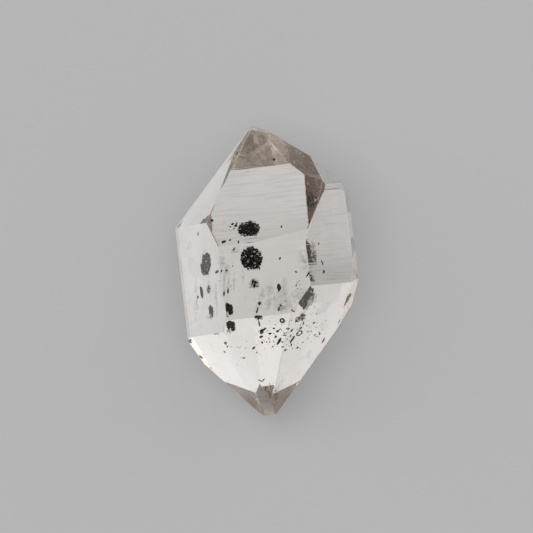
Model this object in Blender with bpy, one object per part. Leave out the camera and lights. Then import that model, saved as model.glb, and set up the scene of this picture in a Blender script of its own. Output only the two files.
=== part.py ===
"""A herkimer diamond: a clear quartz crystal closed at both ends, with black carbon grains inside.

The crystal lies on its back prism face. +Y runs along it towards its upper end, and +Z is the
way that its front prism face looks. The origin is under its middle, on the surface it lies on.
"""
import math
import random

import bmesh
import bpy
from mathutils import Euler, Matrix, Vector, noise

MM = 0.001

# Form of the crystal, in millimetres from its centre and degrees
# Six prism faces stand round the long axis, counted from the front one towards +X, and each has
# an end face above it and one below it, all tilted by the angle that quartz has.
FACE_STEP = 60.0
END_TILT = 38.2
PRISM_FACES = (7.8, 8.4, 8.05, 8.4, 9.0, 7.15)
UPPER_FACES = (7.9, 11.45, 10.45, 11.65, 10.5, 9.0)
LOWER_FACES = (9.05, 7.95, 9.05, 12.1, 12.5, 9.25)

# Narrow faces along the edges: azimuth from the front, tilt upwards, distance from the centre
EDGE_FACES = (
    (76.0, 0.0, 9.07),     # long strip down the right side
    (288.0, 0.0, 8.10),    # long strip down the left side
    (72.0, 7.3, 9.80),     # corner above the right strip
    (60.0, 12.0, 9.78),    # top of the right prism face
    (2.0, 28.4, 8.23),     # foot of the large upper face
    (286.0, 42.2, 9.80),   # strip along the upper left edge
    (76.6, -34.0, 8.6),    # outer side of the lower right face
)

# Both tips are worn blunt: end, tilt of the worn faces, how far each goes in from the sharp tip
TIP_WEAR = ((1, 90.0, 0.16), (1, 66.0, 0.12), (-1, 90.0, 0.10))
TIP_SIDES = 6
BLOCK_SIZE = 60.0

# Growth ledges: azimuth and tilt of the face, height of the step, length it fades over, depth
LEDGES = (
    (60.0, 0.0, 0.0, 3.4, 0.05),
    (60.0, 0.0, 4.6, 2.2, 0.04),
    (0.0, END_TILT, 8.4, 3.0, 0.05),
    (0.0, END_TILT, 11.0, 1.6, 0.04),
    (0.0, 0.0, 1.2, 2.4, 0.03),
)

# Pits and chips: azimuth and tilt of the face, place (x, y), length, width, depth, turn
PITS = (
    (60.0, -END_TILT, 3.10, -6.60, 0.80, 0.55, 0.16, 40.0),
    (60.0, -END_TILT, 2.40, -7.45, 0.80, 0.30, 0.12, 55.0),
    (0.0, -END_TILT, 1.15, -7.55, 0.75, 0.32, 0.14, 55.0),
    (0.0, -END_TILT, 1.90, -5.60, 0.60, 0.45, 0.14, 20.0),
    (0.0, -END_TILT, -1.45, -11.10, 0.70, 0.35, 0.14, 10.0),
    (0.0, END_TILT, 2.17, 11.20, 0.55, 0.30, 0.10, 30.0),
    (0.0, END_TILT, 5.10, 11.00, 0.60, 0.35, 0.12, 50.0),
    (300.0, -END_TILT, -4.57, -7.16, 0.70, 0.40, 0.14, 70.0),
)
PIT_SQUASH = 0.9

# Carbon grains: name, centre, size, lean about X in degrees, seed; each lies in its own pocket
GRAINS = (
    ("carbon_grain_large", (-1.50, 1.42, -4.97), (2.2, 3.1, 0.9), 42.0, 11),
    ("carbon_grain_small", (-1.48, -1.15, -5.00), (0.9, 1.4, 0.6), 42.0, 23),
    ("carbon_grain_side", (-4.00, -3.50, 0.75), (1.1, 1.5, 1.1), 0.0, 37),
)
GRAIN_ROUGHNESS = 0.16
GRAIN_LUMP = 1.7
POCKET_GAP = 0.3

# The clear solid is parted through the grains' centres, along its length
PARTING_AZIMUTH = 66.0
PARTING_DISTANCE = -3.36
PARTING_GAP = 0.3

CLEAR_COLOUR = (0.94, 0.92, 0.90, 1.0)
CLEAR_ROUGHNESS = 0.03
QUARTZ_IOR = 1.544
CARBON_COLOUR = (0.015, 0.014, 0.014, 1.0)
CARBON_ROUGHNESS = 0.55


def face_normal(azimuth, tilt):
    """Outward direction of a face at this azimuth from the front and this tilt upwards."""
    turn, rise = math.radians(azimuth), math.radians(tilt)
    return Vector((math.cos(rise) * math.sin(turn), math.sin(rise), math.cos(rise) * math.cos(turn)))


def new_collection(name):
    collection = bpy.data.collections.new(name)
    bpy.context.scene.collection.children.link(collection)
    return collection


def new_object(name, bm, collection, parent):
    """Turn an edited mesh into an object that hangs on the crystal's centre."""
    mesh = bpy.data.meshes.new(name)
    bm.to_mesh(mesh)
    bm.free()
    made = bpy.data.objects.new(name, mesh)
    made.parent = parent
    collection.objects.link(made)
    return made


def new_material(name, colour, roughness, transmission=0.0, ior=1.5):
    material = bpy.data.materials.new(name)
    material.use_nodes = True
    shader = material.node_tree.nodes["Principled BSDF"]
    shader.inputs["Base Color"].default_value = colour
    shader.inputs["Roughness"].default_value = roughness
    shader.inputs["Transmission Weight"].default_value = transmission
    shader.inputs["IOR"].default_value = ior
    return material


def cut_away(bm, normal, distance):
    """Take off all that lies beyond a plane and close the cut with one face."""
    cut = bmesh.ops.bisect_plane(
        bm, geom=bm.verts[:] + bm.edges[:] + bm.faces[:], dist=1e-7,
        plane_co=normal * distance, plane_no=normal, clear_outer=True)
    rim = [item for item in cut["geom_cut"] if isinstance(item, bmesh.types.BMEdge)]
    if rim:
        bmesh.ops.contextual_create(bm, geom=rim)


def crystal_block():
    """The whole crystal: a block cut down by its faces, its edge faces and its worn tips."""
    bm = bmesh.new()
    bmesh.ops.create_cube(bm, size=BLOCK_SIZE * MM)
    for tilt, distances in ((0.0, PRISM_FACES), (END_TILT, UPPER_FACES), (-END_TILT, LOWER_FACES)):
        for index, distance in enumerate(distances):
            cut_away(bm, face_normal(index * FACE_STEP, tilt), distance * MM)
    for azimuth, tilt, distance in EDGE_FACES:
        cut_away(bm, face_normal(azimuth, tilt), distance * MM)
    for end, tilt, depth in TIP_WEAR:
        tip = max((vert.co for vert in bm.verts), key=lambda co: end * co.y).copy()
        for side in range(TIP_SIDES if tilt < 90.0 else 1):
            normal = face_normal(side * FACE_STEP + FACE_STEP / 2, end * tilt)
            cut_away(bm, normal, normal.dot(tip) - depth * MM)
    bmesh.ops.recalc_face_normals(bm, faces=bm.faces)
    return bm


def parting_half(block, side):
    """The part of the crystal on one side of the parting plane, short of it by half the gap."""
    half = block.copy()
    normal = face_normal(PARTING_AZIMUTH, 0.0)
    cut_away(half, -side * normal, (-side * PARTING_DISTANCE - PARTING_GAP / 2) * MM)
    bmesh.ops.recalc_face_normals(half, faces=half.faces)
    return half


def face_distance(block, normal):
    """How far the crystal reaches in a direction, which is where its face that way lies."""
    return max(vert.co.dot(normal) for vert in block.verts)


def ledge_cutter(block, azimuth, tilt, height, run, depth):
    """A thin wedge over a face: deepest at the step, and out of the face at the end of its run."""
    normal = face_normal(azimuth, tilt)
    across = Vector((0.0, 1.0, 0.0)).cross(normal).normalized()
    up = normal.cross(across)
    start = normal * face_distance(block, normal)
    start += up * ((height * MM - start.y) / up.y)
    half_width = BLOCK_SIZE * MM / 4
    lift = BLOCK_SIZE * MM / 20
    bm = bmesh.new()
    bmesh.ops.create_cube(bm, size=1.0)
    slope = depth / run
    for vert in bm.verts:
        along = -run * MM * 1.5 * (0.5 - vert.co.y)
        floor = -depth * MM - slope * along
        rise = floor if vert.co.z < 0.0 else lift
        vert.co = start + across * vert.co.x * 2 * half_width + up * along + normal * rise
    return bm


def pit_cutter(block, azimuth, tilt, x, y, length, width, depth, turn):
    """A flattened pebble shape half sunk in a face, long side turned within the face."""
    normal = face_normal(azimuth, tilt)
    across = Vector((0.0, 1.0, 0.0)).cross(normal).normalized()
    up = normal.cross(across)
    distance = face_distance(block, normal)
    spot = Vector((x * MM, y * MM, 0.0))
    spot.z = (distance - spot.dot(normal)) / normal.z
    swing = math.radians(turn)
    lengthwise = across * math.cos(swing) + up * math.sin(swing)
    sideways = normal.cross(lengthwise)
    bm = bmesh.new()
    bmesh.ops.create_icosphere(bm, subdivisions=2, radius=1.0)
    for vert in bm.verts:
        bump = 1.0 + 0.25 * noise.noise(vert.co * 1.6 + spot / MM)
        flat = vert.co * bump
        vert.co = (spot + lengthwise * flat.x * length * MM / 2 + sideways * flat.y * width * MM / 2
                   + normal * flat.z * depth * MM * PIT_SQUASH)
    return bm


def leaning_point(centre, radii, lean, co):
    """Where a point of the unit ball goes when the ball is stretched, leant and moved."""
    stretched = Vector(co[axis] * radii[axis] for axis in range(3))
    return (Vector(centre) + Matrix.Rotation(math.radians(lean), 3, "X") @ stretched) * MM


def grain_lump(centre, size, lean, seed):
    """A rough rounded lump of carbon."""
    chance = random.Random(seed)
    shift = Vector((chance.uniform(0, 50), chance.uniform(0, 50), chance.uniform(0, 50)))
    turn = Euler((chance.uniform(0, 3), chance.uniform(0, 3), chance.uniform(0, 3))).to_matrix()
    bm = bmesh.new()
    bmesh.ops.create_icosphere(bm, subdivisions=3, radius=1.0)
    for vert in bm.verts:
        lump = noise.noise(turn @ vert.co * GRAIN_LUMP + shift)
        reach = 1.0 - GRAIN_ROUGHNESS / 2 + GRAIN_ROUGHNESS * lump
        vert.co = leaning_point(centre, [width / 2 for width in size], lean, vert.co * reach)
    return bm


def pocket_cutter(centre, size, lean):
    """The smooth hollow that a grain lies in, clear of it by the gap all round."""
    bm = bmesh.new()
    bmesh.ops.create_icosphere(bm, subdivisions=3, radius=1.0)
    radii = [width / 2 + POCKET_GAP for width in size]
    for vert in bm.verts:
        vert.co = leaning_point(centre, radii, lean, vert.co)
    return bm


def subtract(target, cutters):
    """Cut every object of a collection out of the target."""
    cut = target.modifiers.new(cutters.name, "BOOLEAN")
    cut.operation = "DIFFERENCE"
    cut.operand_type = "COLLECTION"
    cut.solver = "EXACT"
    cut.collection = cutters


for old in list(bpy.data.objects):
    bpy.data.objects.remove(old, do_unlink=True)

parts = new_collection("herkimer_diamond")
cutters = new_collection("cutters")
ledge_cutters = bpy.data.collections.new("ledge_cutters")
pit_cutters = bpy.data.collections.new("pit_cutters")
pocket_cutters = bpy.data.collections.new("pocket_cutters")
for group in (ledge_cutters, pit_cutters, pocket_cutters):
    cutters.children.link(group)

# The crystal's centre, set so that the origin is under the middle of the crystal
block = crystal_block()
low = Vector(min(vert.co[axis] for vert in block.verts) for axis in range(3))
high = Vector(max(vert.co[axis] for vert in block.verts) for axis in range(3))
middle = bpy.data.objects.new("crystal_centre", None)
middle.location = (-(low.x + high.x) / 2, -(low.y + high.y) / 2, -low.z)
parts.objects.link(middle)

for number, ledge in enumerate(LEDGES):
    new_object(f"ledge_cutter_{number}", ledge_cutter(block, *ledge), ledge_cutters, middle)
for number, pit in enumerate(PITS):
    new_object(f"pit_cutter_{number}", pit_cutter(block, *pit), pit_cutters, middle)
for name, centre, size, lean, seed in GRAINS:
    new_object(f"{name}_pocket", pocket_cutter(centre, size, lean), pocket_cutters, middle)
for cutter in cutters.all_objects:
    cutter.hide_render = True
    cutter.display_type = "WIRE"

# Clear quartz, parted in two lengthwise through the grains
clear = new_material("clear_quartz", CLEAR_COLOUR, CLEAR_ROUGHNESS, 1.0, QUARTZ_IOR)
for name, side in (("crystal_right", 1), ("crystal_left", -1)):
    half = new_object(name, parting_half(block, side), parts, middle)
    half.data.materials.append(clear)
    for group in (ledge_cutters, pit_cutters, pocket_cutters):
        subtract(half, group)
block.free()

# Black carbon grains in their pockets
carbon = new_material("black_carbon", CARBON_COLOUR, CARBON_ROUGHNESS)
for name, centre, size, lean, seed in GRAINS:
    grain = new_object(name, grain_lump(centre, size, lean, seed), parts, middle)
    grain.data.materials.append(carbon)
    grain.data.shade_smooth()
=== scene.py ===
import math
import random

import bmesh
import bpy
from mathutils import Euler, Matrix, Vector, noise
from mathutils.bvhtree import BVHTree


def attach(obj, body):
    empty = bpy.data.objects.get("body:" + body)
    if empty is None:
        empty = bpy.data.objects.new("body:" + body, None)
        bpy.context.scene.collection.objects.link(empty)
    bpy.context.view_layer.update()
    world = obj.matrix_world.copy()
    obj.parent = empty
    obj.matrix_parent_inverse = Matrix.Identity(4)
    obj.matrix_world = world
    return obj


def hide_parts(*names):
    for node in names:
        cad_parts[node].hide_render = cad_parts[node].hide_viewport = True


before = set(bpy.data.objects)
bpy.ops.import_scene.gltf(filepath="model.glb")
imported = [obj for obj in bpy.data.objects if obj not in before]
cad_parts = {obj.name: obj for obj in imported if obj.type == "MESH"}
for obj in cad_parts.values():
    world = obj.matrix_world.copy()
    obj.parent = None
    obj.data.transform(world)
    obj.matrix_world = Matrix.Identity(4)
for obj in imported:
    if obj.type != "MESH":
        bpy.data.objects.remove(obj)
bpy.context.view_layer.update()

# Camera
# It looks down on the crystal as the photograph does: almost straight at the front prism face,
# from a long way off, with the crystal's long axis leaning a little to the left.
MM = 0.001
FRAME_PIXELS = 533
PIXEL = 0.1027 * MM                       # size of one picture pixel at the crystal's middle
CRYSTAL_CENTRE = Vector((-0.05, -0.22, 8.4)) * MM
CENTRE_IN_PICTURE = (267.0, 271.0)
VIEW_BACK = Vector((0.1182, -0.0227, 0.9927)).normalized()
VIEW_UP = Vector((0.1152, 0.9933, 0.009))
CAMERA_DISTANCE = 0.9
CAMERA_RANGE = (0.01, 10.0)
SENSOR_WIDTH = 36.0

view_right = VIEW_UP.cross(VIEW_BACK).normalized()
view_up = VIEW_BACK.cross(view_right)
picture_axes = Matrix((view_right, view_up, VIEW_BACK)).transposed()
aside = (CENTRE_IN_PICTURE[0] - FRAME_PIXELS / 2) * PIXEL
above = (FRAME_PIXELS / 2 - CENTRE_IN_PICTURE[1]) * PIXEL
scene = bpy.context.scene
camera = bpy.data.objects.new("camera", bpy.data.cameras.new("camera"))
camera.data.sensor_width = SENSOR_WIDTH
camera.data.lens = SENSOR_WIDTH * CAMERA_DISTANCE / (FRAME_PIXELS * PIXEL)
camera.data.clip_start, camera.data.clip_end = CAMERA_RANGE
camera.location = (CRYSTAL_CENTRE - view_right * aside - view_up * above
                   + VIEW_BACK * CAMERA_DISTANCE)
camera.rotation_mode = "QUATERNION"
camera.rotation_quaternion = picture_axes.to_quaternion()
scene.collection.objects.link(camera)
bpy.context.scene.camera = camera
scene.view_settings.view_transform = "Standard"

# Floor
# A plain pale table top that the crystal lies on, matt and a little bright of itself. Only the
# camera sees it: all other light passes, so that the crystal is lit from below as on a light table.
FLOOR_SIZE = 6.0
FLOOR_DROP = 0.02 * MM
TABLE_COLOUR = (0.196, 0.2, 0.203, 1)
TABLE_GLOW = (0.4554, 0.46, 0.483, 1)
GLOW_STRENGTH = 0.425


def link_object(name, mesh):
    made = bpy.data.objects.new(name, mesh)
    scene.collection.objects.link(made)
    return made


def mesh_from(bm, name):
    mesh = bpy.data.meshes.new(name)
    bm.to_mesh(mesh)
    bm.free()
    return mesh


def start_material(name):
    material = bpy.data.materials.new(name)
    material.use_nodes = True
    return material, material.node_tree.nodes, material.node_tree.links


def unless_camera(others, camera_sees):
    """One shader for the camera's own rays and another for all other light."""
    path = nodes.new("ShaderNodeLightPath")
    choice = nodes.new("ShaderNodeMixShader")
    links.new(path.outputs["Is Camera Ray"], choice.inputs["Fac"])
    links.new(others.outputs[0], choice.inputs[1])
    links.new(camera_sees.outputs[0], choice.inputs[2])
    return choice.outputs[0]


bm = bmesh.new()
bmesh.ops.create_grid(bm, x_segments=1, y_segments=1, size=FLOOR_SIZE / 2)
floor = link_object("floor", mesh_from(bm, "floor"))
floor.location.z = -FLOOR_DROP
table, nodes, links = start_material("pale_table")
nodes.remove(nodes["Principled BSDF"])
matt = nodes.new("ShaderNodeBsdfDiffuse")
matt.inputs["Color"].default_value = TABLE_COLOUR
glow = nodes.new("ShaderNodeEmission")
glow.inputs["Color"].default_value = TABLE_GLOW
glow.inputs["Strength"].default_value = GLOW_STRENGTH
table_top = nodes.new("ShaderNodeAddShader")
links.new(matt.outputs[0], table_top.inputs[0])
links.new(glow.outputs[0], table_top.inputs[1])
passing = nodes.new("ShaderNodeBsdfTransparent")
links.new(unless_camera(passing, table_top), nodes["Material Output"].inputs["Surface"])
floor.data.materials.append(table)

# Light
# A bright panel lies under the crystal and a window stands overhead, in a dim room. Two narrow
# dark cards stand where the front faces mirror straight back, so that the carbon stays black.
# All of it is drawn by direction in the world; a soft lamp gives the floor its shadow.
PANEL_LEVEL, PANEL_SLOPE_X, PANEL_SLOPE_Y = 0.69, 0.045, 0.03
PANEL_LIFT, PANEL_LIFT_X = 0.53, 0.675
PANEL_TOP = 0.92
PANEL_MIDDLE = (-0.118, 0.023)
PANEL_REACH = (0.84, 0.90)
PANEL_SIDE = (0.635, 0.70)
PANEL_FOOT = (-0.69, -0.57)
PANEL_BELOW = (-0.3, -0.1)
ROOM_LEVEL, ROOM_SLOPE_X, ROOM_SLOPE_Y = 0.41, 0.33, -0.08
ROOM_DARK, ROOM_LIGHT = (0.12, 0.08, 0.064, 1), (0.63, 0.61, 0.595, 1)
ROOM_RANGE = (0.14, 0.60)
WINDOW_TONE = (1.85, 1.75, 1.65, 1)
WINDOW_UP, WINDOW_SIDE, WINDOW_END = (0.25, 0.45), (-0.15, 0.10), (0.60, 0.72)
DARK_CARDS = ((-0.118, 0.023, 0.993), (-0.12, 0.97, 0.21))
CARD_EDGE, CARD_TONE = (0.986, 0.996), (0.06, 0.055, 0.05, 1)
BACKDROP_TONE = (0.46, 0.46, 0.46, 1)
LAMP_SIZE, LAMP_POWER, LAMP_AT = 1.2, 12.0, (0.0, 0.15, 1.4)
MOST_BOUNCES, GLASS_BOUNCES = 40, 36


def math_node(operation, first, second=None, third=None):
    node = nodes.new("ShaderNodeMath")
    node.operation = operation
    for slot, value in enumerate((first, second, third)):
        if value is None:
            continue
        if isinstance(value, (int, float)):
            node.inputs[slot].default_value = value
        else:
            links.new(value, node.inputs[slot])
    return node.outputs[0]


def ramp_between(value, low, high):
    node = nodes.new("ShaderNodeMapRange")
    node.interpolation_type = "SMOOTHSTEP"
    links.new(value, node.inputs["Value"])
    node.inputs["From Min"].default_value = low
    node.inputs["From Max"].default_value = high
    return node.outputs["Result"]


def rest_of(value):
    return math_node("SUBTRACT", 1.0, value)


def grey_of(value):
    node = nodes.new("ShaderNodeCombineColor")
    for channel in ("Red", "Green", "Blue"):
        links.new(value, node.inputs[channel])
    return node.outputs[0]


def split_up(vector):
    node = nodes.new("ShaderNodeSeparateXYZ")
    links.new(vector, node.inputs[0])
    return node.outputs


def mix_colour(factor, first, second, blend="MIX"):
    node = nodes.new("ShaderNodeMix")
    node.data_type = "RGBA"
    node.blend_type = blend
    links.new(factor, node.inputs["Factor"])
    for name, value in (("A", first), ("B", second)):
        socket = [i for i in node.inputs if i.name == name and i.type == "RGBA"][0]
        if isinstance(value, tuple):
            socket.default_value = value
        else:
            links.new(value, socket)
    return [o for o in node.outputs if o.type == "RGBA"][0]


world = bpy.data.worlds.new("studio")
scene.world = world
world.use_nodes = True
nodes, links = world.node_tree.nodes, world.node_tree.links
heading = nodes.new("ShaderNodeTexCoord").outputs["Generated"]
toward_x, toward_y, toward_z = split_up(heading)
upper = math_node("MAXIMUM", toward_y, 0.0)
level = math_node("MULTIPLY_ADD", toward_x, PANEL_SLOPE_X, PANEL_LEVEL)
level = math_node("MULTIPLY_ADD", toward_y, PANEL_SLOPE_Y, level)
lift = math_node("MULTIPLY_ADD", toward_x, PANEL_LIFT_X, PANEL_LIFT)
level = math_node("MINIMUM", math_node("MULTIPLY_ADD", upper, lift, level), PANEL_TOP)
off_x = math_node("SUBTRACT", toward_x, PANEL_MIDDLE[0])
off_y = math_node("SUBTRACT", toward_y, PANEL_MIDDLE[1])
reach = math_node("SQRT", math_node("MULTIPLY_ADD", off_x, off_x,
                                    math_node("MULTIPLY", off_y, off_y)))
within = rest_of(ramp_between(reach, *PANEL_REACH))
within = math_node("MULTIPLY", within, rest_of(ramp_between(toward_x, *PANEL_SIDE)))
within = math_node("MULTIPLY", within, ramp_between(toward_y, *PANEL_FOOT))
within = math_node("MULTIPLY", within, rest_of(ramp_between(toward_z, *PANEL_BELOW)))
room = math_node("MULTIPLY_ADD", toward_x, ROOM_SLOPE_X, ROOM_LEVEL)
room = math_node("MULTIPLY_ADD", upper, ROOM_SLOPE_Y, room)
room = mix_colour(ramp_between(room, *ROOM_RANGE), ROOM_DARK, ROOM_LIGHT)
window = math_node("MULTIPLY", ramp_between(toward_z, *WINDOW_UP),
                   ramp_between(toward_y, *WINDOW_SIDE))
window = math_node("MULTIPLY", window, rest_of(ramp_between(toward_y, *WINDOW_END)))
room = mix_colour(window, room, WINDOW_TONE)
around = mix_colour(within, room, grey_of(level))
for card in DARK_CARDS:
    facing_card = nodes.new("ShaderNodeVectorMath")
    facing_card.operation = "DOT_PRODUCT"
    links.new(heading, facing_card.inputs[0])
    facing_card.inputs[1].default_value = Vector(card).normalized()
    on_card = ramp_between(facing_card.outputs["Value"], *CARD_EDGE)
    around = mix_colour(on_card, around, CARD_TONE)
links.new(around, nodes["Background"].inputs["Color"])
backdrop = nodes.new("ShaderNodeBackground")
backdrop.inputs["Color"].default_value = BACKDROP_TONE
links.new(unless_camera(nodes["Background"], backdrop), nodes["World Output"].inputs["Surface"])
lamp = bpy.data.lights.new("overhead", "AREA")
lamp.shape = "SQUARE"
lamp.size = LAMP_SIZE
lamp.energy = LAMP_POWER
overhead = link_object("overhead", lamp)
overhead.location = LAMP_AT
overhead.visible_camera = False
overhead.visible_transmission = False
overhead.visible_glossy = False
scene.cycles.max_bounces = MOST_BOUNCES
scene.cycles.transmission_bounces = GLASS_BOUNCES
scene.cycles.glossy_bounces = GLASS_BOUNCES

# Crystal
# One clear quartz crystal, a six-sided prism with a six-sided point at each end. It grew loose in
# a cavity, which left fine steps and etched hollows on its faces and stained its lower tip. One
# clear piece stands for the two CAD halves, so that no joint shows in it.
HULL_NODES = ("crystal_right", "crystal_left")
QUARTZ_INDEX = 1.544
ABSORB_COLOUR = (0.6, 0.475, 0.35, 1.0)
ABSORB_DENSITY = 20.0
WELD_REACH, CUT_REACH = 0.0005, 1e-5
FLAT_ANGLE, SHARP_ANGLE = math.radians(0.3), math.radians(2)
EDGE_WEAR, WEAR_SEGMENTS = 0.045, 2
# point on the slim bevel beside the upper tip, and the way it faces
TAPERED_FACES = (((-2.68, 10.22, 2.01), (-0.362, 0.690, 0.627)),)
FACE_MARGIN = 0.10
SMALLEST_FACE = 2.0
NAME_REACH = 2
# azimuth, tilt: spacing of the growth steps, depth of the steps, painted shade of the fine lines
STEPPED_FACES = {
    (0, 38): (0.34, 0.016, 1.4),
    (60, 0): (0.30, 0.020, 1.2),
    (0, 0): (0.55, 0.008, 0.45),
    (300, 0): (0.8, 0.006, 0.25),
    (300, 38): (0.5, 0.008, 0.3),
    (60, 38): (0.4, 0.010, 0.4),
}
STEP_FIRST, STEP_GAP = (0.5, 1.5), (0.45, 1.7)
STEP_RISER = 0.045
STEP_COLUMN = 1.1
STEP_TOP_MARGIN = 0.1
STEP_WAVE, STEP_CHANGE = 0.35, 3.7
ETCHED_FACES = ((120, 0), (120, 38), (180, 38), (240, 38), (120, -38), (180, -38), (240, -38))
ETCH_SPACING, ETCH_DEPTH = 0.55, 0.05
ETCH_WAVE = 1.1
ETCH_SHARE = {(180, 38): 1.4, (120, 0): 1.2}
PLAIN_ETCH_SHARE = 0.8
# the fine growth lines are real steps, also raised by the bump; their darkening in colour is
# painted shade
ETCHED_LINE_SHADE, PLAIN_LINE_SHADE = 0.1, 0.15
CUT_WANDER = 0.1
FACE_CHANGE = 9.0
# azimuth, tilt: painted shade, the share by which the face's colour is darkened where less light
# comes through it
PAINTED_FACE_SHADE = {
    (0, 38): 0.0, (60, 38): 0.66, (300, 38): 0.12, (60, 0): 0.17, (300, 0): 0.0,
    (76, 0): 0.62, (72, 7): 0.62, (77, -34): 0.75, (288, 0): 0.25, (286, 42): 0.35,
    (330, 44): 0.88, (60, -9): 0.36, (60, 8): 0.36, (60, 12): 0.2, (54, 0): 0.3,
}
# azimuth, tilt: painted shade that deepens along an axis: the axis, where it starts, over what
# length, how much
PAINTED_SHADE_RAMP = {
    (0, 38): (1, 6.5, 5.0, 0.14), (60, 0): (1, 1.6, 2.4, 0.28), (300, 0): (0, -7.0, 2.0, 0.14),
}
SHADE_REACH = 4.0
# painted shade on the faces of the blunt upper tip
TIP_SHADE, TIP_STEEPNESS = 0.5, 0.85
STREAK_STRETCH, STREAK_DETAIL = (220, 4200, 220), 3.0
STREAK_EDGE, STREAK_SHADE, STREAK_HEIGHT = (0.48, 0.66), 0.09, 0.6
CLOUD_SCALE, CLOUD_DETAIL = 420.0, 5.0
CLOUD_EDGE, CLOUD_SHADE = (0.4, 0.7), 0.06
STAIN_FROM, STAIN_TO, STAIN_COLOUR = -13.4 * MM, -11.9 * MM, (0.3, 0.25, 0.2, 1)
ETCH_ROUGHNESS, CLEAR_ROUGHNESS = 0.16, 0.012
FROST_SCALE, FROST_DETAIL = 1500.0, 2.0
BUMP_STRENGTH, BUMP_HEIGHT = 0.12, 0.03 * MM


def cut_lines(bm, region, number, point, direction):
    """Split the faces of one numbered region along a plane."""
    faces = [face for face in bm.faces if face[region] == number]
    edges = {edge for face in faces for edge in face.edges}
    verts = {vert for face in faces for vert in face.verts}
    bmesh.ops.bisect_plane(bm, geom=faces + list(edges) + list(verts), dist=CUT_REACH,
                           plane_co=point, plane_no=direction)


def face_frame(normal):
    across = Vector((0, 1, 0)).cross(normal).normalized()
    return across, normal.cross(across)


def face_heading(normal):
    """Which way a face looks: degrees round the long axis, and degrees towards the upper tip."""
    return (math.degrees(math.atan2(normal.x, normal.z)),
            math.degrees(math.asin(max(-1.0, min(1.0, normal.y)))))


def spans(values):
    return min(values), max(values)


bm = bmesh.new()
for node_name in HULL_NODES:
    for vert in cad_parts[node_name].data.vertices:
        bm.verts.new(vert.co / MM)
bmesh.ops.remove_doubles(bm, verts=bm.verts, dist=WELD_REACH)
bmesh.ops.convex_hull(bm, input=bm.verts, use_existing_faces=False)
bmesh.ops.delete(bm, geom=[v for v in bm.verts if not v.link_faces], context="VERTS")
bmesh.ops.dissolve_limit(bm, angle_limit=FLAT_ANGLE, verts=bm.verts, edges=bm.edges)
for point, facing in TAPERED_FACES:
    cut = bmesh.ops.bisect_plane(
        bm, geom=bm.verts[:] + bm.edges[:] + bm.faces[:], dist=CUT_REACH, clear_outer=True,
        plane_co=CRYSTAL_CENTRE / MM + Vector(point), plane_no=Vector(facing).normalized())
    rim = [item for item in cut["geom_cut"] if isinstance(item, bmesh.types.BMEdge)]
    bmesh.ops.contextual_create(bm, geom=rim)
sharp = [edge for edge in bm.edges if edge.calc_face_angle(0) > SHARP_ANGLE]
bmesh.ops.bevel(bm, geom=sharp, offset=EDGE_WEAR, segments=WEAR_SEGMENTS, affect="EDGES",
                 clamp_overlap=True)
bm.normal_update()
outer_skin = BVHTree.FromBMesh(bm)
region = bm.faces.layers.int.new("region")
line_shade_layer = bm.faces.layers.float.new("painted_line_shade")
etch_layer = bm.faces.layers.float.new("etch")
painted_shade_layer = bm.faces.layers.float.new("painted_shade")
chance = random.Random(5)
broad = []
for face in bm.faces:
    face[line_shade_layer] = PLAIN_LINE_SHADE
    azimuth, tilt = face_heading(face.normal)
    azimuth, tilt = round(azimuth) % 360, round(tilt - 0.01)
    for key in (*STEPPED_FACES, *ETCHED_FACES):
        named = abs(azimuth - key[0]) < NAME_REACH and abs(tilt - key[1]) < NAME_REACH
        if named and face.calc_area() > SMALLEST_FACE:
            broad.append((key, face))
broad.sort(key=lambda item: item[0])
broad_keys = {}
for number, (key, face) in enumerate(broad, start=1):
    broad_keys[number] = key
    stepped = key in STEPPED_FACES
    normal = face.normal.copy()
    across, up = face_frame(normal)
    bmesh.ops.inset_individual(bm, faces=[face], thickness=FACE_MARGIN, depth=0.0)
    face[region] = number
    start = face.calc_center_median()
    low_x, high_x = spans([across.dot(v.co - start) for v in face.verts])
    low_y, high_y = spans([up.dot(v.co - start) for v in face.verts])
    rows = []
    if stepped:
        spacing, depth, painted_line_shade = STEPPED_FACES[key]
        row = low_y + spacing * chance.uniform(*STEP_FIRST)
        while row < high_y - STEP_TOP_MARGIN:
            rows.append(row)
            row += spacing * chance.uniform(*STEP_GAP)
        for row in rows:
            for side in (-0.5, 0.5):
                cut_lines(bm, region, number, start + up * (row + side * STEP_RISER), up)
        column_spacing = STEP_COLUMN
    else:
        depth, painted_line_shade = ETCH_DEPTH, ETCHED_LINE_SHADE
        row = low_y + ETCH_SPACING
        while row < high_y:
            wander = chance.uniform(-CUT_WANDER, CUT_WANDER)
            cut_lines(bm, region, number, start + up * (row + wander), up)
            row += ETCH_SPACING
        column_spacing = ETCH_SPACING
    column = low_x + column_spacing
    while column < high_x:
        wander = chance.uniform(-CUT_WANDER, CUT_WANDER)
        cut_lines(bm, region, number, start + across * (column + wander), across)
        column += column_spacing
    done = set()
    for patch in [f for f in bm.faces if f[region] == number]:
        patch[line_shade_layer] = painted_line_shade
        patch[etch_layer] = 0.0 if stepped else ETCH_SHARE.get(key, PLAIN_ETCH_SHARE)
        for vert in patch.verts:
            if vert in done:
                continue
            done.add(vert)
            over, along = across.dot(vert.co - start), up.dot(vert.co - start)
            if stepped:
                band = sum(1 for row in rows if row < along)
                place = (over * STEP_WAVE, band * STEP_CHANGE, number * FACE_CHANGE)
            else:
                place = (over * ETCH_WAVE, along * ETCH_WAVE, number * FACE_CHANGE)
            sunk = 0.5 + 0.5 * noise.noise(Vector(place))
            vert.co -= normal * depth * max(0.0, min(1.0, sunk))
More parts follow.
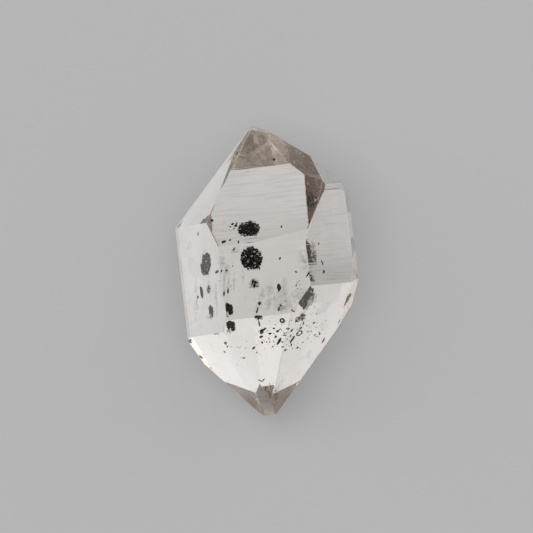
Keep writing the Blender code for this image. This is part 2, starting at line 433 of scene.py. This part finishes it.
# Each face gets painted shade in its colour: faces that look darker where less light comes through
# them, some more towards one end, and the blunt upper tip.
for face in bm.faces:
    centre = face.calc_center_median()
    azimuth, tilt = face_heading(face.normal)
    key = broad_keys.get(face[region])
    if key is None:
        near = [name for name in PAINTED_FACE_SHADE if abs(name[0] - azimuth % 360) < SHADE_REACH
                and abs(name[1] - tilt) < SHADE_REACH]
        key = near[0] if near else None
    painted_shade = PAINTED_FACE_SHADE.get(key, 0.0)
    if key in PAINTED_SHADE_RAMP:
        axis, first, length, gain = PAINTED_SHADE_RAMP[key]
        painted_shade += gain * max(0.0, min(1.0, (first - centre[axis]) / length))
    elif face.normal.y > TIP_STEEPNESS:
        painted_shade = TIP_SHADE
    face[painted_shade_layer] = painted_shade
bmesh.ops.transform(bm, matrix=Matrix.Scale(MM, 4), verts=bm.verts)
crystal = link_object("clear_crystal", mesh_from(bm, "clear_crystal"))


def attribute(name):
    node = nodes.new("ShaderNodeAttribute")
    node.attribute_name = name
    return node.outputs["Fac"]


def noise_over(place, scale, detail):
    node = nodes.new("ShaderNodeTexNoise")
    node.inputs["Scale"].default_value = scale
    node.inputs["Detail"].default_value = detail
    links.new(place, node.inputs["Vector"])
    return node.outputs["Fac"]


quartz, nodes, links = start_material("clear_quartz_faces")
shader = nodes["Principled BSDF"]
shader.inputs["Transmission Weight"].default_value = 1.0
shader.inputs["IOR"].default_value = QUARTZ_INDEX
on_crystal = nodes.new("ShaderNodeTexCoord").outputs["Object"]
stretched = nodes.new("ShaderNodeMapping")
stretched.inputs["Scale"].default_value = STREAK_STRETCH
links.new(on_crystal, stretched.inputs["Vector"])
streaks = noise_over(stretched.outputs[0], 1.0, STREAK_DETAIL)
clouds = noise_over(on_crystal, CLOUD_SCALE, CLOUD_DETAIL)
frost = noise_over(on_crystal, FROST_SCALE, FROST_DETAIL)
# painted shade along the fine growth lines, as strong as each face's line value
painted_shade_and_clouds = math_node("MULTIPLY", ramp_between(streaks, *STREAK_EDGE), attribute("painted_line_shade"))
# adds each face's painted shade and the painted shade of the fine lines
painted_shade_and_clouds = math_node("MULTIPLY_ADD", painted_shade_and_clouds, STREAK_SHADE, attribute("painted_shade"))
painted_shade_and_clouds = math_node("MULTIPLY_ADD", ramp_between(clouds, *CLOUD_EDGE), CLOUD_SHADE, painted_shade_and_clouds)
stained = rest_of(ramp_between(split_up(on_crystal)["Y"], STAIN_FROM, STAIN_TO))
links.new(mix_colour(stained, grey_of(rest_of(painted_shade_and_clouds)), STAIN_COLOUR, "MULTIPLY"),
          shader.inputs["Base Color"])
links.new(math_node("MULTIPLY_ADD", attribute("etch"), ETCH_ROUGHNESS, CLEAR_ROUGHNESS),
          shader.inputs["Roughness"])
bump = nodes.new("ShaderNodeBump")
bump.inputs["Strength"].default_value = BUMP_STRENGTH
bump.inputs["Distance"].default_value = BUMP_HEIGHT
links.new(math_node("MULTIPLY_ADD", streaks, STREAK_HEIGHT, frost), bump.inputs["Height"])
links.new(bump.outputs[0], shader.inputs["Normal"])
absorb = nodes.new("ShaderNodeVolumeAbsorption")
absorb.inputs["Color"].default_value = ABSORB_COLOUR
absorb.inputs["Density"].default_value = ABSORB_DENSITY
links.new(absorb.outputs[0], nodes["Material Output"].inputs["Volume"])
crystal.data.materials.append(quartz)
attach(crystal, "root")
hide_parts(*HULL_NODES)

# Large grain
# The largest dark grain is a thin round film of black carbon crumbs that leans in the back of the
# crystal. It was sealed in as the quartz grew round it, and nothing else holds it.
CARBON_DARK, CARBON_ROUGHNESS = (0.006, 0.006, 0.007, 1), 0.35
LEAST_COVER = 0.06                        # everything sealed in lies at least this far inside
CRYSTAL_MM = CRYSTAL_CENTRE / MM
CRUMB_LUMPS = 1.7
FILM_FOOT = -0.86                         # the film is cut off flat below this share of it
FILM_TRIES = 6000
FILM_RAGGED, RAGGED_LUMPS, FILM_THICK, CRUMB_LEAN = 0.10, 1.5, 0.09, 0.15
CRUMB_SIZES, CRUMB_LENGTHS, CRUMB_HEIGHTS = (0.75, 1.25), (0.8, 1.3), (1.2, 2.0)
FILM_ROUGH, DUST_ROUGH = 0.5, 0.4
LARGE_AT = CRYSTAL_MM + Vector((-1.50, 1.42, -4.97))
LARGE_WIDTH, LARGE_LENGTH, LARGE_LEAN = 2.1, 3.1, 42.0
LARGE_SPACING, LARGE_CRUMB = 0.185, 0.135
LARGE_DUST, LARGE_DUST_SIZE = 200, (0.03, 0.07)
LARGE_DUST_REACH, LARGE_DUST_SPREAD, LARGE_DUST_FOOT = 0.97, (1.02, 1.5, 0.12), -1.25


def add_crumb(bm, centre, radii, turn, detail, rough, chance):
    """One rough crumb: a ball stretched, roughened, turned and put in its place (millimetres)."""
    made = bmesh.ops.create_icosphere(bm, subdivisions=detail, radius=1.0)
    shift = Vector((chance.uniform(0, 90), chance.uniform(0, 90), chance.uniform(0, 90)))
    for vert in made["verts"]:
        swell = 1.0 + rough * noise.noise(vert.co * CRUMB_LUMPS + shift)
        vert.co = centre + turn @ Vector([vert.co[axis] * swell * radii[axis] for axis in range(3)])


def add_dust(bm, centre, sizes, chance):
    """One of the tiny crumbs that lie loose round a grain."""
    radii = [chance.uniform(*sizes) for _ in range(3)]
    add_crumb(bm, centre, radii, Matrix.Identity(3), detail=1, rough=DUST_ROUGH, chance=chance)


def finish_crumbs(bm, name, material, replaced=None):
    """Push what is sealed in under the crystal's skin, and make one piece of it."""
    for vert in bm.verts:
        nearest, normal, _, _ = outer_skin.find_nearest(vert.co)
        if (vert.co - nearest).dot(normal) > -LEAST_COVER:
            vert.co = nearest - normal * LEAST_COVER
    bmesh.ops.transform(bm, matrix=Matrix.Scale(MM, 4), verts=bm.verts)
    made = link_object(name, mesh_from(bm, name))
    made.data.materials.append(material)
    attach(made, "root")
    if replaced:
        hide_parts(replaced)


def grain_film(centre, width, length, lean, spacing, crumb, seed):
    """A thin leaning film of crumbs packed side by side, as round as a coin seen aslant."""
    chance = random.Random(seed)
    tilt = Matrix.Rotation(math.radians(lean), 3, "X")
    bm = bmesh.new()
    spots = []
    for _ in range(FILM_TRIES):
        angle, out = chance.uniform(0, math.tau), math.sqrt(chance.random())
        edge_place = Vector((math.cos(angle) * RAGGED_LUMPS, math.sin(angle) * RAGGED_LUMPS, seed))
        edge = 1.0 + FILM_RAGGED * noise.noise(edge_place)
        x, y = math.cos(angle) * out * edge, math.sin(angle) * out * edge
        spot = Vector((x * width / 2, y * length / 2, 0))
        if y > FILM_FOOT and all((spot - other).length > spacing for other in spots):
            spots.append(spot)
    for spot in spots:
        lift = chance.gauss(0, FILM_THICK)
        size = crumb * chance.uniform(*CRUMB_SIZES)
        turn = Euler((chance.gauss(0, CRUMB_LEAN), chance.gauss(0, CRUMB_LEAN),
                      chance.uniform(0, 3))).to_matrix()
        radii = (size, size * chance.uniform(*CRUMB_LENGTHS),
                 size * chance.uniform(*CRUMB_HEIGHTS))
        add_crumb(bm, centre + tilt @ (spot + Vector((0, 0, lift))), radii, turn,
                  detail=2, rough=FILM_ROUGH, chance=chance)
    return bm, chance, tilt


carbon, nodes, links = start_material("black_carbon_rough")
shader = nodes["Principled BSDF"]
shader.inputs["Base Color"].default_value = CARBON_DARK
shader.inputs["Roughness"].default_value = CARBON_ROUGHNESS
bm, chance, tilt = grain_film(LARGE_AT, LARGE_WIDTH, LARGE_LENGTH, LARGE_LEAN, LARGE_SPACING,
                              LARGE_CRUMB, seed=3)
for _ in range(LARGE_DUST):
    angle, out = chance.uniform(0, math.tau), LARGE_DUST_REACH * math.sqrt(chance.random())
    wide, high, deep = LARGE_DUST_SPREAD
    spot = Vector((math.cos(angle) * out * wide,
                   max(LARGE_DUST_FOOT, math.sin(angle) * out * high), chance.gauss(0, deep)))
    add_dust(bm, LARGE_AT + tilt @ spot, LARGE_DUST_SIZE, chance)
finish_crumbs(bm, "large_carbon_grain", carbon, "carbon_grain_large")

# Small grain
# A smaller film of the same carbon crumbs, below the large grain and at the same lean. It is
# sealed in the quartz as well, with a ring of loose crumbs round it.
SMALL_AT = CRYSTAL_MM + Vector((-1.48, -1.15, -5.00))
SMALL_WIDTH, SMALL_LENGTH, SMALL_LEAN = 0.62, 0.9, 42.0
SMALL_SPACING, SMALL_CRUMB = 0.15, 0.085
SMALL_DUST, SMALL_DUST_SIZE = 60, (0.025, 0.055)
SMALL_DUST_RING, SMALL_DUST_TALL, SMALL_DUST_DEEP = (0.25, 0.5), 1.35, 0.06
bm, chance, tilt = grain_film(SMALL_AT, SMALL_WIDTH, SMALL_LENGTH, SMALL_LEAN, SMALL_SPACING,
                              SMALL_CRUMB, seed=8)
for _ in range(SMALL_DUST):
    angle, out = chance.uniform(0, math.tau), chance.uniform(*SMALL_DUST_RING)
    spot = Vector((math.cos(angle) * out, math.sin(angle) * out * SMALL_DUST_TALL,
                   chance.gauss(0, SMALL_DUST_DEEP)))
    add_dust(bm, SMALL_AT + tilt @ spot, SMALL_DUST_SIZE, chance)
finish_crumbs(bm, "small_carbon_grain", carbon, "carbon_grain_small")

# Side grain
# A lumpy grain of carbon near the left edge of the front face: four lumps grown together, with
# loose crumbs at its foot. It is sealed in the quartz like the others.
SIDE_AT = CRYSTAL_MM + Vector((-4.00, -3.50, 0.75))
SIDE_TURN, SIDE_ROUGH = Euler((0.3, 0.2, -0.3)), 0.55
# place of each lump, and its half width, half length and half depth
SIDE_LUMPS = (
    ((-0.12, 0.30, 0.0), (0.30, 0.34, 0.3)), ((0.14, 0.05, 0.1), (0.30, 0.40, 0.32)),
    ((0.20, -0.32, -0.1), (0.22, 0.32, 0.25)), ((-0.2, -0.05, -0.15), (0.2, 0.3, 0.2)),
)
SIDE_DUST, SIDE_DUST_SIZE = 40, (0.02, 0.045)
SIDE_DUST_AT, SIDE_DUST_SPREAD = (-0.25, -0.55), (0.13, 0.14, 0.2)
chance = random.Random(21)
bm = bmesh.new()
for place, radii in SIDE_LUMPS:
    add_crumb(bm, SIDE_AT + Vector(place), radii, SIDE_TURN.to_matrix(),
              detail=3, rough=SIDE_ROUGH, chance=chance)
for _ in range(SIDE_DUST):
    wide, high, deep = SIDE_DUST_SPREAD
    spot = Vector((SIDE_DUST_AT[0] + chance.gauss(0, wide),
                   SIDE_DUST_AT[1] + chance.gauss(0, high), chance.gauss(0, deep)))
    add_dust(bm, SIDE_AT + spot, SIDE_DUST_SIZE, chance)
finish_crumbs(bm, "side_carbon_grain", carbon, "carbon_grain_side")

# Flecks
# Splinters, rings and dust of the same black carbon, far smaller than the grains. They lie just
# under the front faces, where the quartz closed over them last, and are one piece here.
FLECK_DEPTH = 0.14
FLECK_GROWTH = 0.5                        # in picture pixels: the thinnest would not show
FLECK_THICK, FLECK_ROUGH = 0.7, 0.45
MOST_STRETCH, LEAST_SLANT = 2.6, 0.05
# picture place, length, width, angle
BLACK_FLECKS = (
    (279.1, 287.5, 8.2, 3.2, 90), (259.6, 303.2, 3.4, 2.6, 70), (257.6, 309.5, 5.0, 1.0, 78),
    (256.6, 311.8, 3.0, 0.9, 80), (280.7, 305.4, 2.6, 1.2, 140), (278.8, 309.0, 4.2, 1.3, 70),
    (258.2, 317.1, 7.4, 1.7, 2), (259.3, 323.6, 6.2, 1.2, 100), (261.5, 331.6, 5.2, 3.4, 70),
    (264.3, 329.2, 4.2, 1.6, 38), (261.2, 336.8, 3.6, 1.8, 15), (262.1, 342.5, 2.0, 1.3, 100),
    (253.6, 348.0, 3.2, 1.8, 40), (270.0, 333.6, 3.2, 1.6, 12), (273.9, 328.4, 2.2, 1.3, 0),
    (277.5, 331.2, 3.4, 1.5, 28), (275.7, 336.8, 2.4, 1.7, 35), (279.0, 341.6, 8.4, 2.3, 60),
    (292.3, 339.6, 8.6, 1.9, 58), (300.7, 328.0, 3.2, 1.6, 30), (291.8, 330.5, 3.2, 1.5, 45),
    (288.6, 328.8, 1.8, 1.4, 0), (290.6, 336.0, 2.0, 1.2, 30), (284.6, 335.4, 2.4, 0.8, 0),
    (305.0, 305.6, 8.8, 2.9, 68), (296.6, 321.0, 3.2, 2.0, 40), (299.0, 318.2, 3.4, 1.8, 60),
    (303.6, 322.9, 2.4, 1.3, 120), (313.9, 322.9, 3.0, 1.2, 25), (319.6, 333.6, 2.8, 1.2, 100),
    (323.4, 340.5, 6.0, 1.2, 66), (293.9, 311.4, 2.0, 1.4, 0), (323.9, 271.6, 3.8, 1.8, 80),
    (307.9, 274.3, 6.0, 1.3, 62), (322.2, 262.6, 4.8, 1.0, 112), (285.5, 350.1, 3.0, 1.5, 30),
    (297.5, 347.7, 2.4, 1.5, 30), (291.4, 345.0, 3.0, 1.0, 90), (282.5, 342.0, 1.8, 1.0, 0),
    (216.5, 272.0, 5.6, 2.2, 24), (201.4, 292.0, 11.0, 3.6, 97), (197.7, 297.2, 3.0, 1.5, 75),
    (226.4, 270.6, 2.2, 1.0, 0), (223.6, 241.8, 4.2, 2.4, 25), (230.0, 240.0, 2.2, 1.2, 20),
    (238.5, 241.8, 2.4, 1.2, 90), (232.5, 224.0, 2.6, 1.5, 35), (235.8, 225.6, 2.6, 2.2, 0),
    (236.7, 223.4, 2.2, 1.0, 60), (228.0, 291.0, 4.6, 1.2, 88), (224.0, 294.0, 5.0, 1.2, 80),
    (225.3, 343.3, 3.4, 2.6, 60), (227.3, 346.8, 2.4, 1.4, 50), (185.6, 333.4, 3.8, 1.3, 100),
    (279.9, 258.4, 2.6, 1.3, 70), (281.5, 226.6, 1.8, 1.2, 90), (274.0, 159.4, 2.2, 2.2, 90),
    (212.0, 220.4, 2.6, 2.4, 0), (315.0, 335.0, 1.8, 1.0, 45), (244.0, 358.0, 1.6, 1.0, 0),
    (224.5, 352.0, 2.4, 1.2, 120), (230.3, 226.8, 1.4, 1.0, 0), (296.0, 272.0, 2.0, 1.2, 160),
    (200.6, 357.0, 5.0, 2.0, 142), (198.0, 234.0, 4.0, 0.9, 85), (318.8, 243.8, 2.4, 1.0, 80),
    (260.5, 380.8, 5.0, 0.6, 162), (263.6, 379.8, 3.0, 0.7, 60), (258.5, 389.5, 3.6, 0.2, 76),
    (261.2, 390.0, 4.4, 0.3, 92), (264.2, 390.6, 3.6, 0.2, 84), (270.6, 386.4, 3.0, 0.1, 112),
)
# picture place, length, width, angle, thickness of the line
RINGS = (
    (282.3, 320.6, 4.4, 4.8, 80, 1.0), (299.3, 333.2, 7.0, 4.4, 36, 0.8),
    (297.8, 319.4, 5.2, 4.4, 50, 0.5),
)
RING_BEADS, RING_DEEPER = 14, 0.12
BEAD_SIZES, BEAD_LENGTH = (1.0, 1.7), 1.5
# picture place of the middle, width and height of the field, how many specks, their angle
SPECK_FIELDS = (
    ((281, 336), (20, 12), 80, 50), ((299, 288), (7, 14), 14, 80), ((312, 330), (15, 20), 44, 60),
    ((236, 229), (12, 9), 16, 40), ((267, 389), (8, 5), 8, 80), ((230, 280), (8, 18), 10, 90),
    ((252, 290), (10, 12), 6, 60), ((236.3, 249), (3.5, 3.5), 16, 0),
    ((250, 352), (28, 10), 20, 40),
)
FIELD_SPREAD = 1.6
SPECK_LEAST, SPECK_MORE, SPECK_RARITY = 0.15, 0.9, 3
SPECK_LENGTHS, SPECK_DEEPER, SPECK_SWING = (1.1, 2.2), 0.25, 18


def spot_under(px, py, depth):
    """The place this deep under the front surface that shows at this point of the picture, and
    the turn and stretch that make a thing there look as it would without the bending of light."""
    shown = (CRYSTAL_CENTRE + view_right * (px - CENTRE_IN_PICTURE[0]) * PIXEL
             + view_up * (CENTRE_IN_PICTURE[1] - py) * PIXEL)
    look = (shown - camera.location).normalized()
    hit, normal, _, _ = outer_skin.ray_cast(camera.location / MM, look)
    if hit is None:
        return None, None
    into = 1 / QUARTZ_INDEX
    facing = -look.dot(normal)
    steep = math.sqrt(1 - into ** 2 * (1 - facing ** 2))
    bent = into * look + (into * facing - steep) * normal
    slant = normal - VIEW_BACK * normal.dot(VIEW_BACK)
    stretch = Matrix.Identity(3)
    if slant.length > LEAST_SLANT:
        stretch = Matrix.Scale(min(MOST_STRETCH, steep / facing), 3, slant.normalized())
    return hit + bent * depth, stretch


def add_fleck(px, py, length, width, angle, depth, detail=2):
    """One fleck, sized in picture pixels; one that would miss the crystal isn't made."""
    spot, stretch = spot_under(px, py, depth)
    if spot is None:
        return
    turn = stretch @ picture_axes @ Matrix.Rotation(math.radians(angle), 3, "Z")
    half = 0.5 * PIXEL / MM
    length, width = (length + FLECK_GROWTH) * half, (width + FLECK_GROWTH) * half
    add_crumb(bm, spot, (length, width, width * FLECK_THICK), turn, detail, FLECK_ROUGH, chance)


chance = random.Random(77)
bm = bmesh.new()
for px, py, length, width, angle in BLACK_FLECKS:
    add_fleck(px, py, length, width, angle, FLECK_DEPTH + width * PIXEL / MM / 2)
for px, py, length, width, angle, thick in RINGS:
    lean = Matrix.Rotation(math.radians(angle), 2)
    for bead in range(RING_BEADS):
        swing = bead * math.tau / RING_BEADS
        off = lean @ Vector((math.cos(swing) * (length - thick) / 2,
                             math.sin(swing) * (width - thick) / 2))
        size = thick * chance.uniform(*BEAD_SIZES)
        along_ring = angle + math.degrees(swing) + 90
        add_fleck(px + off.x, py - off.y, size * BEAD_LENGTH, size, along_ring,
                  FLECK_DEPTH + RING_DEEPER, detail=1)
for (px, py), (wide, high), number, angle in SPECK_FIELDS:
    for _ in range(number):
        size = SPECK_LEAST + chance.random() ** SPECK_RARITY * SPECK_MORE
        add_fleck(chance.gauss(px, wide / FIELD_SPREAD), chance.gauss(py, high / FIELD_SPREAD),
                  size * chance.uniform(*SPECK_LENGTHS), size,
                  angle + chance.gauss(0, SPECK_SWING),
                  FLECK_DEPTH + chance.uniform(0, SPECK_DEEPER), detail=1)
finish_crumbs(bm, "carbon_flecks", carbon)

# Veils and painted glints
# Faint milky sheets of tiny pits and hair cracks inside the clear quartz, which healed as the
# crystal grew round them. Pale sheets just under its skin are painted glints beside the upper tip,
# and a painted pale wash of light in front of the large grain at the right.
# the dark grey is the veils' own colour; the pale colour is painted highlight
VEIL_DARK, PAINTED_GLINT_COLOUR, VEIL_ROUGHNESS = (0.16, 0.15, 0.145, 1), (0.9, 0.86, 0.82, 1), 0.6
WISP_SCALE, WISP_DETAIL, WISP_EDGE = 2600.0, 3.0, (0.3, 0.7)
VEIL_COVER = 0.25
VEIL_DEPTH, VEIL_DEEPER, GLINT_DEPTH = 0.9, 0.6, 0.16
VEIL_THICK, VEIL_FADE = 0.03, 0.8
# picture place, length, width, angle
MILKY_VEILS = (
    (271.5, 299.5, 27, 5.0, 76), (276.0, 300.0, 28, 6.5, 84), (280.5, 301.0, 25, 6.5, 92),
    (285.0, 303.0, 22, 6.5, 100), (289.0, 304.0, 17, 6.5, 108), (267.5, 304.5, 19, 7.0, 72),
    (283.0, 308.5, 18, 5.0, 18), (258.0, 307.0, 18, 8.0, 76), (281.0, 307.5, 11, 9.0, 60),
    (226.5, 270.5, 15, 10.0, 80), (222.5, 262.0, 14, 7.0, 85), (236.0, 250.5, 9.0, 8.0, 0),
    (228.5, 287.0, 30, 4.0, 88), (234.0, 282.0, 24, 3.6, 90), (224.5, 284.0, 28, 3.4, 88),
    (302.0, 314.5, 8.0, 8.0, 50), (283.0, 322.0, 8.0, 7.0, 60), (188.5, 246.0, 10.0, 7.0, 50),
    (208.8, 286.0, 13.0, 4.4, 88), (303.0, 298.0, 20, 10.0, 42), (208.5, 317.0, 9.0, 7.0, 60),
    (228.5, 332.0, 9.5, 7.0, 75), (262.0, 391.0, 17, 11.0, 10), (309.5, 260.0, 24, 10.0, 100),
    (205.8, 264.0, 34, 14.0, 92), (251.5, 249.5, 22, 7.0, 170), (254.5, 284.0, 12, 12.0, 0),
    (243.0, 275.0, 20, 4.0, 88), (216.0, 300.0, 40, 5.0, 90), (196.0, 300.0, 50, 6.0, 88),
    (285.0, 290.0, 30, 9.0, 95), (270.0, 288.0, 22, 8.0, 80), (262.0, 296.0, 26, 8.0, 75),
)
# painted glints and pale wash: picture place, length, width, angle, how far it hides what lies
# behind
PAINTED_GLINTS = (
    (314.0, 251.0, 10, 26, 5, 6.5), (311.0, 302.5, 22, 10, 50, 8.0),
    (258.6, 131.4, 6, 2.6, 170, 4.0), (284.7, 155.5, 5.5, 2.4, 165, 4.5),
    (294.6, 162.0, 1.8, 4.5, 170, 4.5), (297.6, 163.0, 1.6, 4, 170, 4),
    (304.0, 157.0, 5, 2.6, 140, 4.0), (300.0, 153.2, 4, 2.0, 150, 3.5),
    (307.9, 184.0, 3.2, 2.6, 0, 4.5), (315.5, 200.2, 5.5, 2.0, 45, 4.5),
    (288.5, 144.5, 4.5, 2.0, 130, 3.5), (236.8, 153.5, 5, 2.0, 65, 3.5),
    (296.5, 150.8, 5, 1.6, 145, 3.0), (265.7, 149.7, 2.4, 1.6, 0, 3.0),
)
veil_and_glint, nodes, links = start_material("veil_and_painted_glint")
shader = nodes["Principled BSDF"]
# the pale share of the colour is painted highlight on the glint sheets
links.new(mix_colour(attribute("pale"), VEIL_DARK, PAINTED_GLINT_COLOUR), shader.inputs["Base Color"])
shader.inputs["Roughness"].default_value = VEIL_ROUGHNESS
in_crystal = nodes.new("ShaderNodeTexCoord").outputs["Object"]
wisps = ramp_between(noise_over(in_crystal, WISP_SCALE, WISP_DETAIL), *WISP_EDGE)
cover = math_node("MULTIPLY", math_node("MULTIPLY", wisps, attribute("fade")), VEIL_COVER)
links.new(cover, shader.inputs["Alpha"])
chance = random.Random(40)
bm = bmesh.new()
fade_layer = bm.verts.layers.float.new("fade")
glint_layer = bm.verts.layers.float.new("pale")
sheets = [(*veil, 1.0, False) for veil in MILKY_VEILS] + [(*flake, True) for flake in PAINTED_GLINTS]
for px, py, length, width, angle, hiding, pale in sheets:
    deep = GLINT_DEPTH if pale else VEIL_DEPTH + chance.uniform(0, VEIL_DEEPER)
    spot, stretch = spot_under(px, py, deep)
    turn = stretch @ picture_axes @ Matrix.Rotation(math.radians(angle), 3, "Z")
    half = 0.5 * PIXEL / MM
    for vert in bmesh.ops.create_icosphere(bm, subdivisions=3, radius=1.0)["verts"]:
        inward = max(0.0, 1.0 - math.hypot(vert.co.x, vert.co.y))
        vert[fade_layer] = hiding * inward ** VEIL_FADE
        vert[glint_layer] = float(pale)
        sized = Vector((vert.co.x * length * half, vert.co.y * width * half,
                        vert.co.z * VEIL_THICK))
        vert.co = spot + turn @ sized
finish_crumbs(bm, "veils_and_painted_glints", veil_and_glint)
